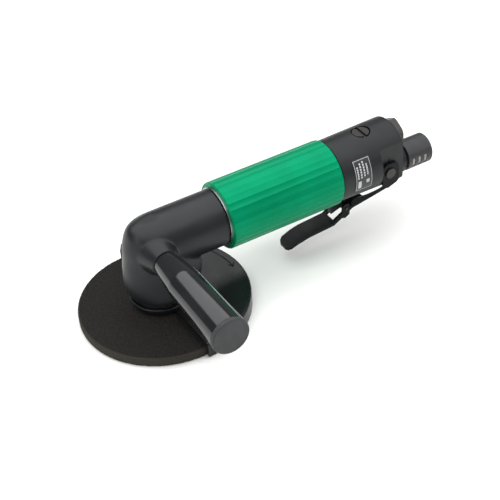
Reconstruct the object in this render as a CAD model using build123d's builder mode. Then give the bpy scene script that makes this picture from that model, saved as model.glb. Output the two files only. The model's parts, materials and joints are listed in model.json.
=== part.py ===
"""Right-angle air grinder with a 125 mm depressed-centre wheel, a side handle and a lever throttle.

Frame: the origin is where the spindle's axis meets the wheel's working face, +Z runs up the
spindle, +X runs back along the motor, and the side handle stands out towards -Y. Millimetres.
"""

import os
from math import atan2, cos, degrees, radians, sin, sqrt

from build123d import *

os.makedirs("parts", exist_ok=True)

# ---- driving dimensions ----
BODY_Z = 62.3  # height of the motor's axis above the wheel's working face
FIT = 0.05  # gap between pieces that fit together in one body
RUN = 0.08  # radial gap of a running fit

WHEEL_R, WHEEL_T = 62.5, 7.0
WHEEL_BORE_R = 11.115
HUB_DROP, HUB_T, HUB_R, HUB_SLOPE_R = 4.5, 5.5, 21.5, 28.0

GUARD_R, GUARD_T, GUARD_TOP = 66.0, 1.7, 12.6
BAND_R, BAND_WAIST_R, BAND_LIP, BAND_TOP = 23.6, 22.5, 15.5, 17.4
NOSE_R = 21.0  # spigot that the guard's band turns on
NOSE_BOTTOM, NECK_BOTTOM = 13.0, 22.5

TUBE_R = 21.6  # horizontal leg of the angle head
HEAD_END = 49.7
CASING_R, CASING_BORE = 22.3, 19.3
GRIP_R, GRIP_START, GRIP_END = 25.7, 51.6, 145.4
HOUSING_R, HOUSING_START, HOUSING_END = 24.3, 146.2, 202.0
HOUSING_REAR_R = 25.2  # the housing swells slightly towards its rear face
FLAT_X, FLAT_Y = 180.3, 19.2  # where the milled flats start, and their half width

GEAR_TEETH, PINION_TEETH, GEAR_PITCH_R, FACE_WIDTH = 28, 13, 17.5, 6.0
SPINDLE_R, SPINDLE_SEAT_R = 7.0, 7.5
ROTOR_R, LINER_BORE, ECCENTRICITY = 14.8, 16.6, 1.5
LINER_X0, LINER_X1 = 72.0, 124.0

HANDLE_X, HANDLE_Z = -4.5, BODY_Z
HANDLE_FACE, HANDLE_MID, HANDLE_END = 26.7, 54.0, 117.1  # distances out along Y from the body's axis
HANDLE_ROOT_R, HANDLE_MID_R, HANDLE_TIP_R = 9.7, 12.75, 13.9
HANDLE_HOLE_R = 3.4  # M8 tapping size
NEAR_SOCKET = 8.4
FAR_SOCKET = 8.0  # depth of the spare socket, on the other side of the head

INLET_Z, INLET_HEX, INLET_BORE_R = 74.0, 22.0, 7.475
EXHAUST_Z, EXHAUST_R, EXHAUST_END = 49.0, 11.8, 236.5
VALVE_X, REGULATOR_X, REGULATOR_R = 167.0, 176.5, 4.5

LEVER_PIVOT_X, LEVER_PIVOT_Z = 188.6, 56.2
PADDLE_HALF, CHEEK_IN, CHEEK_OUT = 8.2, 19.5, 21.7
CATCH_X, CATCH_Z = 157.5, 27.5

BODY_AXIS = Axis((0, 0, BODY_Z), (1, 0, 0))


# ---- helpers ----
def save(node, part):
    """Label a finished piece and write its STEP file."""
    part.label = node
    export_step(part, f"parts/{node}.step")


def across(x, y=0.0, z=BODY_Z):
    """Plane square to the motor's axis: its own x runs along +Y and its own y along +Z."""
    return Plane(origin=(x, y, z), x_dir=(0, 1, 0), z_dir=(1, 0, 0))


def bar_x(x0, x1, r, y=0.0, z=BODY_Z, mode=Mode.ADD):
    """Round bar or hole along X."""
    with BuildSketch(across(x0, y, z)) as section:
        Circle(r)
    extrude(section.sketch, amount=x1 - x0, mode=mode)


def bar_y(y0, y1, r, x, z, mode=Mode.ADD):
    """Round bar or hole along Y, from y0 to a smaller y1."""
    with BuildSketch(Plane(origin=(x, y0, z), x_dir=(1, 0, 0), z_dir=(0, -1, 0))) as section:
        Circle(r)
    extrude(section.sketch, amount=y0 - y1, mode=mode)


def bar_z(z0, z1, r, x=0.0, y=0.0, mode=Mode.ADD):
    """Round bar or hole along Z."""
    with BuildSketch(Plane(origin=(x, y, z0))) as section:
        Circle(r)
    extrude(section.sketch, amount=z1 - z0, mode=mode)


def box(x0, x1, y0, y1, z0, z1, mode=Mode.ADD):
    """Block between two corners."""
    with BuildSketch(Plane(origin=((x0 + x1) / 2, (y0 + y1) / 2, z0))) as section:
        Rectangle(x1 - x0, y1 - y0)
    extrude(section.sketch, amount=z1 - z0, mode=mode)


def turned_x(points, z=BODY_Z, mode=Mode.ADD):
    """Solid turned about an axis along X, from (x, radius) points."""
    with BuildSketch(Plane.XZ) as profile:
        with BuildLine():
            Polyline([(x, z + r) for x, r in points], close=True)
        make_face()
    revolve(profile.sketch, axis=Axis((0, 0, z), (1, 0, 0)), mode=mode)


def turned_z(points, mode=Mode.ADD):
    """Solid turned about the spindle's axis, from (radius, z) points."""
    with BuildSketch(Plane.XZ) as profile:
        with BuildLine():
            Polyline(points, close=True)
        make_face()
    revolve(profile.sketch, axis=Axis.Z, mode=mode)


def side_profile(points, y0, y1, mode=Mode.ADD):
    """Prism of an (x, z) outline, from y0 down to a smaller y1."""
    with BuildSketch(Plane(origin=(0, y0, 0), x_dir=(1, 0, 0), z_dir=(0, -1, 0))) as profile:
        with BuildLine():
            Polyline(points, close=True)
        make_face()
    extrude(profile.sketch, amount=y0 - y1, mode=mode)


def plan_profile(points, z0, z1, mode=Mode.ADD):
    """Prism of an (x, y) outline, from z0 up to z1."""
    with BuildSketch(Plane.XY.offset(z0)) as profile:
        with BuildLine():
            Polyline(points, close=True)
        make_face()
    extrude(profile.sketch, amount=z1 - z0, mode=mode)


def ball_bearing(node, plane, bore_r, outer_r, width, ball_count):
    """Deep-groove bearing as two nodes: the outer race with its caged balls, and the inner race.

    The plane stands on one end face of the bearing, with its z along the shaft.
    """
    mid_r = (bore_r + outer_r) / 2
    ball_r = (outer_r - bore_r) * 0.28
    land = (outer_r - bore_r) * 0.2  # thickness of a race at the bottom of its groove, nearly

    with BuildPart(plane) as outer:
        Cylinder(outer_r, width, align=(Align.CENTER, Align.CENTER, Align.MIN))
        Cylinder(outer_r - land, width, align=(Align.CENTER, Align.CENTER, Align.MIN), mode=Mode.SUBTRACT)
        with Locations((0, 0, width / 2)):
            Torus(mid_r, ball_r + RUN, mode=Mode.SUBTRACT)
    with BuildPart(plane) as caged_balls:
        with Locations((0, 0, width / 2)):
            Cylinder(mid_r + 0.6, width * 0.5)
            Cylinder(mid_r - 0.6, width * 0.5, mode=Mode.SUBTRACT)
            with PolarLocations(mid_r, ball_count):
                Sphere(ball_r)
    with BuildPart(plane) as inner:
        Cylinder(bore_r + land, width, align=(Align.CENTER, Align.CENTER, Align.MIN))
        Cylinder(bore_r + FIT, width, align=(Align.CENTER, Align.CENTER, Align.MIN), mode=Mode.SUBTRACT)
        with Locations((0, 0, width / 2)):
            Torus(mid_r, ball_r + RUN, mode=Mode.SUBTRACT)
    save(f"{node}_outer", Compound(children=[outer.part, caged_balls.part]))
    save(f"{node}_inner", inner.part)


def bevel_tooth(pitch_angle, cone_distance, module, root_half, tip_half):
    """One straight bevel tooth, tapering towards an apex at the origin, for an axis along +Z.

    The tooth lies on the pitch cone's line in the XZ plane. Its half widths are in modules.
    """
    along = Vector(sin(pitch_angle), 0, cos(pitch_angle))
    outwards = Vector(cos(pitch_angle), 0, -sin(pitch_angle))
    low, high = -1.45 * module, 0.9 * module
    root_half, tip_half = module * root_half, module * tip_half
    with BuildPart() as tooth:
        for distance in (cone_distance, cone_distance - FACE_WIDTH):
            k = distance / cone_distance
            with BuildSketch(Plane(origin=along * distance, x_dir=outwards, z_dir=along)):
                with BuildLine():
                    Polyline(
                        (low * k, -root_half * k),
                        (high * k, -tip_half * k),
                        (high * k, tip_half * k),
                        (low * k, root_half * k),
                        close=True,
                    )
                make_face()
        loft(ruled=True)
    return tooth.part


def gear_blank(pitch_angle, cone_distance, module):
    """(radius, height) corners of the root cone's two ends, measured from the apex."""
    dedendum = 1.2 * module
    corners = []
    for distance in (cone_distance, cone_distance - FACE_WIDTH):
        k = distance / cone_distance
        r = distance * sin(pitch_angle) - dedendum * k * cos(pitch_angle)
        h = distance * cos(pitch_angle) + dedendum * k * sin(pitch_angle)
        corners.append((r, h))
    return corners


# ---- angle head ----
def angle_head():
    """One casting: an oval neck that turns through an elbow into a tube, with a boss for the handle."""
    # height, centre's x, half length along X, half width along Y
    neck = ((NECK_BOTTOM, 1.0, 25.4, 24.1), (26.5, 2.4, 28.0, 24.0), (33.0, 3.4, 29.8, 23.2), (42.0, 3.5, 29.8, 22.4),
            (50.0, 3.5, 29.0, 22.0), (58.0, 3.0, 27.5, 21.6), (66.0, 2.5, 25.9, 21.2), (72.0, 2.2, 24.0, 19.3),
            (77.0, 2.2, 22.2, 15.8), (80.5, 3.0, 20.0, 11.6), (83.0, 4.0, 15.6, 6.0))
    flush_y, flare = 21.0, 18.0
    with BuildPart() as head:
        for z, x, half_x, half_y in neck:
            with BuildSketch(Plane(origin=(x, 0, z))):
                Ellipse(half_x, half_y)
        loft()
        bar_x(4.0, HEAD_END, TUBE_R)
        with BuildSketch(Plane(origin=(HANDLE_X, -HANDLE_FACE, HANDLE_Z), z_dir=(0, 1, 0))) as boss:
            Circle(HANDLE_ROOT_R + 0.7)
        extrude(boss.sketch, amount=HANDLE_FACE - 8.0, taper=-flare)
        bar_y(HANDLE_FACE, flush_y, HANDLE_ROOT_R, HANDLE_X, HANDLE_Z, mode=Mode.SUBTRACT)
        # spigot that plugs into the motor's coupling ring
        bar_x(HEAD_END - 1, 60.0 - FIT, CASING_BORE - FIT)
        # gear chamber, nose thread and pinion bores
        turned_z(((0, NECK_BOTTOM - 1), (22.1, NECK_BOTTOM - 1), (22.1, 33.0), (18.8, 33.0), (18.8, 55.9),
                  (13.2, 58.3), (11.0, 58.3), (11.0, 70.0), (6.0, 70.0), (6.0, 78.0), (0, 78.0)),
                 mode=Mode.SUBTRACT)
        bar_x(0, 22.5, 13.6, mode=Mode.SUBTRACT)
        bar_x(22.5, 60.0, 16.0 + FIT, mode=Mode.SUBTRACT)
        # tapped sockets for the side handle, one each side, and the tapped hole for greasing
        bar_y(NEAR_SOCKET - HANDLE_FACE, -HANDLE_FACE, HANDLE_HOLE_R, HANDLE_X, HANDLE_Z, mode=Mode.SUBTRACT)
        bar_y(flush_y, flush_y - FAR_SOCKET, HANDLE_HOLE_R, HANDLE_X, HANDLE_Z, mode=Mode.SUBTRACT)
        with BuildSketch(grease_plane(17.0)) as grease_hole:
            Circle(2.6)
        extrude(grease_hole.sketch, amount=20.0, mode=Mode.SUBTRACT)
        with BuildSketch(grease_plane(23.3)) as seat:
            Circle(5.4)
        extrude(seat.sketch, amount=5.0, mode=Mode.SUBTRACT)
    save("angle_head", head.part)

    with BuildPart() as plug:
        with BuildSketch(grease_plane(19.0)) as thread:
            Circle(2.6 - FIT)
        extrude(thread.sketch, amount=4.4)
        with BuildSketch(grease_plane(23.35)) as cap:
            Circle(4.9)
        extrude(cap.sketch, amount=1.35)
        with BuildSketch(grease_plane(24.7)) as slot:
            Rectangle(12.0, 1.2)
        extrude(slot.sketch, amount=-0.9, mode=Mode.SUBTRACT)
    save("grease_plug", plug.part)


def grease_plane(distance):
    """Plane square to the grease plug's axis, at a distance out from the spindle's axis."""
    turn = radians(146.0)
    return Plane(origin=(distance * cos(turn), distance * sin(turn), 54.4), x_dir=(-sin(turn), cos(turn), 0),
                 z_dir=(cos(turn), sin(turn), 0))


def nose():
    """Threaded nose that carries the lower spindle bearing and the guard's band."""
    with BuildPart() as housing:
        turned_z(((9.4, 16.0), (14.5, 16.0), (14.5, NOSE_BOTTOM), (NOSE_R, NOSE_BOTTOM), (NOSE_R, NECK_BOTTOM),
                  (22.0, NECK_BOTTOM), (22.0, 32.5), (17.55, 32.5), (17.55, 20.5), (12.6, 20.5), (12.6, 17.0),
                  (9.4, 17.0)))
        with Locations(Plane.XY.offset(32.5)):
            with PolarLocations(19.8, 4):
                Hole(1.2, depth=4.0)
    save("nose_housing", housing.part)

    with BuildPart() as lock_ring:
        bar_z(31.6, 33.4, 17.5)
        bar_z(31.6, 33.4, 12.0, mode=Mode.SUBTRACT)
    save("bearing_lock_ring", lock_ring.part)

    with BuildPart() as seal:
        turned_z(((8.95, 17.6), (9.9, 17.05), (12.55, 17.05), (12.55, 20.3), (9.9, 20.3), (8.95, 19.4)))
    save("spindle_seal", seal.part)


# ---- spindle, gears and wheel ----
def spindle_group():
    """Spindle with its gear, key, lock ring and top needle bearing."""
    key_half, key_depth, key_z0, key_z1 = 1.5, 1.6, 36.5, 44.5
    with BuildPart() as spindle:
        turned_z(((0, 1.0), (6.0, 1.0), (SPINDLE_R, 2.0), (SPINDLE_R, 15.5), (8.85, 15.5), (8.85, 20.5),
                  (SPINDLE_SEAT_R, 20.5), (SPINDLE_SEAT_R, 33.5), (SPINDLE_R, 33.5), (SPINDLE_R, 47.0),
                  (6.2, 47.0), (6.2, 48.4), (SPINDLE_R, 48.4), (SPINDLE_R, 49.6), (5.0, 50.6), (5.0, 67.0),
                  (4.0, 68.0), (4.0, 76.5), (3.5, 77.0), (0, 77.0)))
        box(SPINDLE_R - key_depth, 9.0, -key_half, key_half, key_z0, key_z1, mode=Mode.SUBTRACT)
        with BuildSketch(Plane.XY.offset(1.0)) as socket:
            RegularPolygon(3.0, 6, major_radius=False)
        extrude(socket.sketch, amount=6.0, mode=Mode.SUBTRACT)
    save("spindle", spindle.part)

    with BuildPart() as key:
        box(SPINDLE_R - key_depth + FIT, SPINDLE_R + 1.3, -key_half + FIT, key_half - FIT,
            key_z0 + FIT, key_z1 - FIT)
    save("spindle_key", key.part)

    with BuildPart() as clip:
        bar_z(47.05, 48.3, 8.6)
        bar_z(47.05, 48.3, 6.25, mode=Mode.SUBTRACT)
        box(0, 10.0, -3.0, 3.0, 47.0, 49.0, mode=Mode.SUBTRACT)
    save("gear_circlip", clip.part)

    with BuildPart() as needle_cup:
        turned_z(((5.05, 70.1), (5.95, 70.1), (5.95, 77.9), (3.2, 77.9), (3.2, 77.3), (5.3, 77.3), (5.3, 70.8),
                  (5.05, 70.8)))
    with BuildPart() as needles:
        with Locations((0, 0, 74.0)):
            with PolarLocations(4.63, 14):
                Cylinder(0.55, 5.6)
    save("top_needle_bearing", Compound(children=[needle_cup.part, needles.part]))

    ball_bearing("spindle_bearing", Plane.XY.offset(20.5), SPINDLE_SEAT_R, 17.5, 11.0, 8)


def bevel_gears():
    """Straight bevel pair whose pitch cones meet at the crossing of the two axes."""
    gear_angle = atan2(GEAR_TEETH, PINION_TEETH)
    pinion_angle = atan2(PINION_TEETH, GEAR_TEETH)
    cone_distance = GEAR_PITCH_R / sin(gear_angle)
    module = 2 * GEAR_PITCH_R / GEAR_TEETH

    # the crown gear hangs below the apex, so it is drawn pointing up and turned over
    (r_out, h_out), (r_in, h_in) = gear_blank(gear_angle, cone_distance, module)
    crown_tooth = bevel_tooth(gear_angle, cone_distance, module, 1.0, 0.36)
    hub_r, hub_back, web_back = 11.0, BODY_Z - 33.6, BODY_Z - 45.0
    with BuildPart() as upturned:
        turned_z(((SPINDLE_R + FIT, h_in), (r_in, h_in), (r_out, h_out), (GEAR_PITCH_R - 0.6, h_out + 1.6),
                  (GEAR_PITCH_R - 1.6, web_back), (hub_r, web_back), (hub_r, hub_back),
                  (SPINDLE_R + FIT, hub_back)))
        with PolarLocations(0, GEAR_TEETH):
            add(crown_tooth)
        bar_z(0, BODY_Z - 46.95, 8.8, mode=Mode.SUBTRACT)
    crown = Pos(0, 0, BODY_Z) * Rot(180, 0, 0) * upturned.part
    key_slot = Pos(SPINDLE_R, 0, 40.0) * Box(2.8, 3.0, 14.0)
    save("crown_gear", crown - key_slot)

    (r_out, h_out), (r_in, h_in) = gear_blank(pinion_angle, cone_distance, module)
    pinion_tooth = bevel_tooth(pinion_angle, cone_distance, module, 0.8, 0.36)
    with BuildPart() as upright:
        turned_z(((0, h_in), (r_in, h_in), (r_out, h_out), (r_out, 20.3), (7.6, 20.3), (7.6, 22.9),
                  (6.0, 22.9), (6.0, 57.5), (0, 57.5)))
        with PolarLocations(0, PINION_TEETH, start_angle=180 / PINION_TEETH):
            add(pinion_tooth)
        bar_z(46.0, 58.0, 4.1, mode=Mode.SUBTRACT)
    # the pinion's axis is laid along +X, half a tooth round from the crown gear
    pinion = Pos(0, 0, BODY_Z) * Rot(0, 90, 0) * upright.part
    save("bevel_pinion", pinion)


def pinion_bearings():
    """Two bearings in the head's tube, with the spacer that holds them apart."""
    ball_bearing("pinion_front_bearing", across(23.0), 6.0, 16.0, 10.0, 7)
    ball_bearing("pinion_rear_bearing", across(39.5), 6.0, 16.0, 10.0, 7)
    with BuildPart() as spacer:
        bar_x(33.1, 39.4, 15.9)
        bar_x(33.1, 39.4, 14.2, mode=Mode.SUBTRACT)
    save("pinion_bearing_spacer", spacer.part)


def wheel():
    """Depressed-centre wheel, its two flanges and the rest of the clamping stack."""
    hub_top = HUB_DROP + HUB_T
    with BuildPart() as disc:
        turned_z(((WHEEL_BORE_R, HUB_DROP), (HUB_R, HUB_DROP), (HUB_SLOPE_R, 0), (WHEEL_R - 0.6, 0), (WHEEL_R, 0.6),
                  (WHEEL_R, WHEEL_T - 0.6), (WHEEL_R - 0.6, WHEEL_T), (HUB_SLOPE_R, WHEEL_T), (HUB_R, hub_top),
                  (WHEEL_BORE_R, hub_top)))
    save("grinding_wheel", disc.part)

    with BuildPart() as inner:
        turned_z(((SPINDLE_R + FIT, 7.4), (WHEEL_BORE_R - FIT, 7.4), (WHEEL_BORE_R - FIT, hub_top), (20.5, hub_top),
                  (20.5, 12.2), (12.5, 12.4), (12.5, 15.4), (SPINDLE_R + FIT, 15.4)))
    save("inner_flange", inner.part)

    with BuildPart() as nut:
        turned_z(((SPINDLE_R + FIT, 1.6), (11.0, 1.6), (13.0, 1.2), (20.0, 1.2), (20.0, HUB_DROP), (10.9, HUB_DROP),
                  (10.9, 7.2), (SPINDLE_R + FIT, 7.2)))
        with Locations(Plane.XY.offset(1.2)):
            with PolarLocations(15.0, 4, start_angle=45):
                Cylinder(2.4, 5.0, mode=Mode.SUBTRACT)
    save("flange_nut", nut.part)


# ---- guard ----
def guard():
    """Half guard round the operator's side of the wheel, on a split band that clamps the nose."""
    skirt_bottom, half_turn, set_round = 0.5, 180, 1.75
    with BuildPart() as shell:
        with BuildSketch(Plane.XZ) as profile:
            with BuildLine():
                Polyline((NOSE_R + RUN, GUARD_TOP), (GUARD_R - 2.0, GUARD_TOP))
                RadiusArc((GUARD_R - 2.0, GUARD_TOP), (GUARD_R, GUARD_TOP - 2.0), 2.0)
                Polyline((GUARD_R, GUARD_TOP - 2.0), (GUARD_R, skirt_bottom), (GUARD_R - GUARD_T, skirt_bottom),
                         (GUARD_R - GUARD_T, GUARD_TOP - GUARD_T), (NOSE_R + RUN, GUARD_TOP - GUARD_T),
                         (NOSE_R + RUN, GUARD_TOP))
            make_face()
        revolve(profile.sketch, axis=Axis.Z, revolution_arc=half_turn)
    # the revolve starts on +X, so the shell is turned back a quarter turn to face the operator
    turned_back = Rot(0, 0, -90) * shell.part
    low_x = turned_back.bounding_box().min.X
    facing = turned_back if low_x > -1.0 else Rot(0, 0, 180) * turned_back
    facing = Rot(0, 0, set_round) * facing
    arrow_r, arrow_from, arrow_to, groove, depth, barb = 59.5, -2.0, 26.0, 0.55, 0.35, 4.6
    with BuildPart() as cover:
        add(facing)
        with BuildSketch(Plane.XY.offset(GUARD_TOP)) as arrow:
            Circle(arrow_r + groove)
            Circle(arrow_r - groove, mode=Mode.SUBTRACT)
            with BuildLine():
                Polyline((0, 0), (80 * cos(radians(arrow_from)), 80 * sin(radians(arrow_from))),
                         (80 * cos(radians(arrow_to)), 80 * sin(radians(arrow_to))), close=True)
            make_face(mode=Mode.INTERSECT)
            tip = (arrow_r * cos(radians(arrow_from)), arrow_r * sin(radians(arrow_from)))
            for lean in (-32, 32):
                with Locations(tip):
                    Rectangle(2 * groove, barb, rotation=arrow_from + lean, align=(Align.CENTER, Align.MIN))
        extrude(arrow.sketch, amount=-depth, mode=Mode.SUBTRACT)
    save("wheel_guard", cover.part)

    with BuildPart() as band:
        bar_z(GUARD_TOP, BAND_LIP, BAND_WAIST_R)
        bar_z(BAND_LIP, BAND_TOP, BAND_R)
        box(20.0, 31.0, -6.5, 6.5, GUARD_TOP, BAND_TOP)
        bar_z(GUARD_TOP, BAND_TOP, NOSE_R + RUN, mode=Mode.SUBTRACT)
        box(20.0, 32.0, -1.0, 1.0, GUARD_TOP, BAND_TOP, mode=Mode.SUBTRACT)
        bar_y(8.0, -8.0, 1.7, 27.3, 14.8, mode=Mode.SUBTRACT)
        fillet(band.edges().filter_by(GeomType.CIRCLE).group_by(Axis.Z)[-1].sort_by(SortBy.RADIUS)[-1], radius=0.8)
    save("guard_clamp_band", band.part)

    with BuildPart() as screw:
        bar_y(6.6, -8.6, 1.6, 27.3, 14.8)
        bar_y(9.8, 6.55, 2.0, 27.3, 14.8)
        with BuildSketch(Plane(origin=(27.3, 9.8, 14.8), x_dir=(1, 0, 0), z_dir=(0, 1, 0))) as socket:
            RegularPolygon(1.1, 6, major_radius=False)
        extrude(socket.sketch, amount=-1.8, mode=Mode.SUBTRACT)
    with BuildPart() as nut:
        with BuildSketch(Plane(origin=(27.3, -6.55, 14.8), x_dir=(1, 0, 0), z_dir=(0, -1, 0))) as hexagon:
            RegularPolygon(2.15, 6, major_radius=False)
            Circle(1.65, mode=Mode.SUBTRACT)
        extrude(hexagon.sketch, amount=1.9)
    save("guard_clamp_screw", Compound(children=[screw.part, nut.part]))


# ---- side handle ----
def side_handle():
    """Flared grip on a threaded stud, closed by a pressed-in cap."""
    cap_start, cap_edge, stud_out = HANDLE_END - 3.5, 1.2, 74.0
    stud_in = HANDLE_FACE - NEAR_SOCKET + 0.2
    grip_start, bore_r, recess_r, recess, shoulder_r = -HANDLE_FACE - 0.1, 4.1, 9.0, 6.0, 30.0
    with BuildPart() as grip:
        with BuildSketch(Plane.YZ.offset(HANDLE_X)) as profile:
            with BuildLine():
                Polyline((grip_start, HANDLE_Z + bore_r), (grip_start, HANDLE_Z + HANDLE_ROOT_R - 0.4),
                         (grip_start - 0.4, HANDLE_Z + HANDLE_ROOT_R), (-HANDLE_MID, HANDLE_Z + HANDLE_MID_R),
                         (-cap_start, HANDLE_Z + HANDLE_TIP_R), (-cap_start, HANDLE_Z + recess_r),
                         (-cap_start + recess, HANDLE_Z + recess_r), (-cap_start + recess, HANDLE_Z + bore_r),
                         close=True)
            make_face()
            shoulder = profile.vertices().sort_by_distance((-HANDLE_MID, HANDLE_Z + HANDLE_MID_R, 0))[0]
            fillet(shoulder, radius=shoulder_r)
        revolve(profile.sketch, axis=Axis((HANDLE_X, 0, HANDLE_Z), (0, 1, 0)))
    save("handle_grip", grip.part)

    with BuildPart() as stud:
        bar_y(-stud_in, grip_start, HANDLE_HOLE_R - FIT, HANDLE_X, HANDLE_Z)
        bar_y(grip_start, -stud_out, bore_r - FIT, HANDLE_X, HANDLE_Z)
    save("handle_stud", stud.part)

    with BuildPart() as cap:
        bar_y(-cap_start - 0.1, -HANDLE_END, HANDLE_TIP_R, HANDLE_X, HANDLE_Z)
        bar_y(-cap_start + recess - 0.5, -cap_start - 0.1, recess_r - 0.1, HANDLE_X, HANDLE_Z)
        fillet(cap.edges().filter_by(GeomType.CIRCLE).sort_by(Axis.Y)[0], radius=cap_edge)
    save("handle_end_cap", cap.part)


# ---- air motor ----
def motor_shell():
    """Coupling ring, casing tube and the ribbed grip over it."""
    with BuildPart() as ring:
        bar_x(50.3, GRIP_START - FIT, CASING_R + 0.1)
        bar_x(50.3, GRIP_START - FIT, CASING_BORE, mode=Mode.SUBTRACT)
    save("coupling_ring", ring.part)

    with BuildPart() as casing:
        bar_x(GRIP_START, 145.2, CASING_R)
        bar_x(GRIP_START, 145.2, CASING_BORE, mode=Mode.SUBTRACT)
    save("motor_casing", casing.part)

    flutes, flute_r = 32, 16.0
    flute_centre = GRIP_R * cos(radians(180 / flutes)) - 0.2 + flute_r
    with BuildPart() as grip:
        with BuildSketch(across(GRIP_START)) as section:
            Circle(GRIP_R)
            Circle(CASING_R + FIT, mode=Mode.SUBTRACT)
            with PolarLocations(flute_centre, flutes):
                Circle(flute_r, mode=Mode.SUBTRACT)
        extrude(section.sketch, amount=GRIP_END - GRIP_START)
        for x, lean in ((GRIP_START, 1), (GRIP_END, -1)):
            turned_x(((x, GRIP_R + 1), (x, GRIP_R - 0.9), (x + lean * 0.9, GRIP_R + 0.01),
                      (x + lean * 0.9, GRIP_R + 1)), mode=Mode.SUBTRACT)
    save("grip_sleeve", grip.part)


def motor_inside():
    """End plates, liner, rotor and vanes of the vane motor, with their bearings."""
    with BuildPart() as front_plate:
        bar_x(60.1, LINER_X0 - FIT, CASING_BORE - FIT)
        bar_x(60.1, 70.1, 14.0 + FIT, mode=Mode.SUBTRACT)
        bar_x(60.1, LINER_X0, 6.4, mode=Mode.SUBTRACT)
    save("front_end_plate", front_plate.part)
    ball_bearing("rotor_front_bearing", across(62.0), 6.0, 14.0, 8.0, 8)

    with BuildPart() as liner:
        bar_x(LINER_X0, LINER_X1, CASING_BORE - FIT)
        bar_x(LINER_X0, LINER_X1, LINER_BORE, z=BODY_Z - ECCENTRICITY, mode=Mode.SUBTRACT)
        port_pitch, ports = 7.0, 6
        for i in range(ports):
            x = (LINER_X0 + LINER_X1) / 2 + (i - (ports - 1) / 2) * port_pitch
            bar_y(30.0, 5.0, 1.5, x, BODY_Z + 4.0, mode=Mode.SUBTRACT)
    save("cylinder_liner", liner.part)

    slots, slot_half, slot_floor = 5, 1.0, 7.6
    end_gap = 0.15
    with BuildPart() as rotor:
        bar_x(LINER_X0 + end_gap, LINER_X1 - end_gap, ROTOR_R)
        bar_x(59.0, LINER_X0 + end_gap, 6.0)
        bar_x(47.0, 59.0, 4.0)
        bar_x(LINER_X1 - end_gap, 134.5, 4.0)
        with BuildSketch(across(LINER_X0 + end_gap)) as slot_sketch:
            with PolarLocations((slot_floor + ROTOR_R + 1) / 2, slots):
                Rectangle(ROTOR_R + 1 - slot_floor, 2 * slot_half)
        extrude(slot_sketch.sketch, amount=LINER_X1 - LINER_X0 - 2 * end_gap, mode=Mode.SUBTRACT)
    save("rotor", rotor.part)

    vane_in, vane_out = 8.2, ROTOR_R + 0.05
    with BuildPart() as vanes:
        with BuildSketch(across(LINER_X0 + 2 * end_gap)) as vane_sketch:
            with PolarLocations((vane_in + vane_out) / 2, slots):
                Rectangle(vane_out - vane_in, 2 * (slot_half - FIT))
        extrude(vane_sketch.sketch, amount=LINER_X1 - LINER_X0 - 4 * end_gap)
    save("rotor_vanes", vanes.part)

    with BuildPart() as rear_plate:
        bar_x(LINER_X1 + FIT, 136.0, CASING_BORE - FIT)
        bar_x(127.0, 136.0, 11.0 + FIT, mode=Mode.SUBTRACT)
        bar_x(LINER_X1, 127.0, 4.4, mode=Mode.SUBTRACT)
        for y in (-6.0, 0.0, 6.0):
            bar_x(LINER_X1, 136.0, 1.5, y=y, z=BODY_Z + sqrt(14.3**2 - y * y), mode=Mode.SUBTRACT)
    save("rear_end_plate", rear_plate.part)
    ball_bearing("rotor_rear_bearing", across(127.2), 4.0, 11.0, 7.0, 7)


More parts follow.
